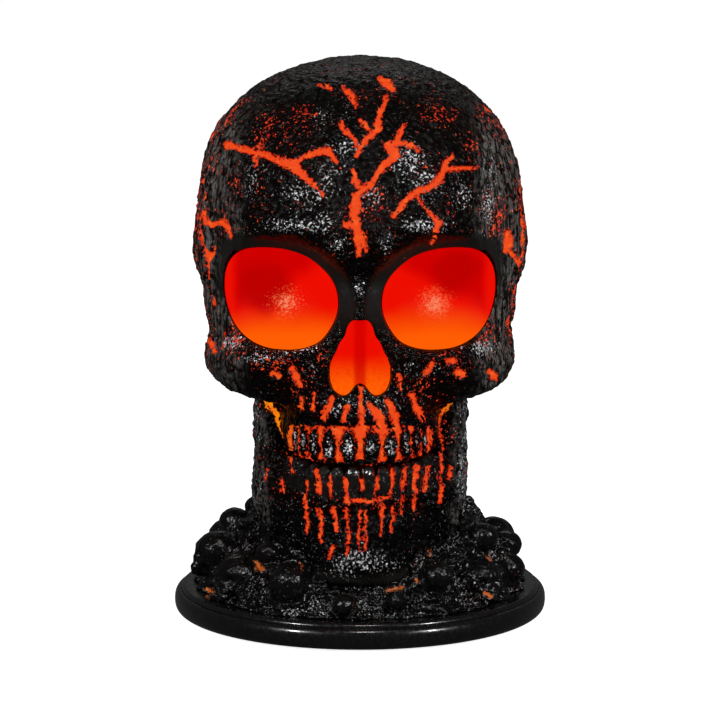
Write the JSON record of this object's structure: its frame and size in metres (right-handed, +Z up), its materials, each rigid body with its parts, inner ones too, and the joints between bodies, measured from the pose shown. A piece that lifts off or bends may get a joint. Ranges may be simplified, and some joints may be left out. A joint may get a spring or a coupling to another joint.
{
  "type": "skull table lamp",
  "caption": "Table lamp shaped as a lava-cracked human skull with glowing eye and nose inserts, on a round beaded plinth in a pile of small skulls.",
  "frame": {"origin": "centre of the round plinth, on the table under the feet", "axes": "+Z up, the face looks along -Y, +X is to the right of someone who looks at the face"},
  "size_m": [0.132, 0.132, 0.197],
  "materials": {
    "lava_shell": "glossy black crust with glowing orange cracks",
    "glow": "translucent, frosted, lit from inside",
    "gloss_black": "gloss",
    "plate": "fine matte",
    "foot_rubber": "matte",
    "steel": "bright plated",
    "cell_case": "satin",
    "led_lens": "clear tinted",
    "board": "satin",
    "wire_red": "satin",
    "wire_black": "satin"
  },
  "bodies": {
    "lamp": {"base_plate": "plate", "battery_1": "cell_case", "battery_2": "cell_case", "battery_3": "cell_case", "battery_box": "plate", "contact_link_back": "steel", "contact_link_front": "steel", "contact_minus": "steel", "contact_plus": "steel", "contact_spring_1": "steel", "contact_spring_2": "steel", "contact_spring_3": "steel", "eye_insert_left": "glow", "eye_insert_right": "glow", "face_shell": "lava_shell", "head_screw_1": "steel", "head_screw_2": "steel", "head_screw_3": "steel", "head_screw_4": "steel", "led_1": "led_lens", "led_2": "led_lens", "led_3": "led_lens", "led_board": "board", "led_post": "plate", "lower_jaw": "lava_shell", "nose_insert": "glow", "plate_screw_1": "steel", "plate_screw_2": "steel", "plate_screw_3": "steel", "plate_screw_4": "steel", "plinth": "gloss_black", "rear_shell": "lava_shell", "resistor": "plate", "rubber_foot_1": "foot_rubber", "rubber_foot_2": "foot_rubber", "rubber_foot_3": "foot_rubber", "rubber_foot_4": "foot_rubber", "skull_pile": "gloss_black", "switch_body": "steel", "wire_minus": "wire_black", "wire_plus": "wire_red", "wire_switched": "wire_red"},
    "battery_door": {"battery_door": "plate"},
    "switch_knob": {"switch_knob": "plate"}
  },
  "joints": [
    {"name": "battery_door_hinge", "type": "hinge", "parent": "lamp", "child": "battery_door", "pos_m": [-0.0238, 0, 0.0027], "axis": [0, 1, 0], "range_deg": [0, 100]},
    {"name": "switch_slide", "type": "slide", "parent": "lamp", "child": "switch_knob", "axis": [1, 0, 0], "range_m": [0, 0.0025]}
  ]
}
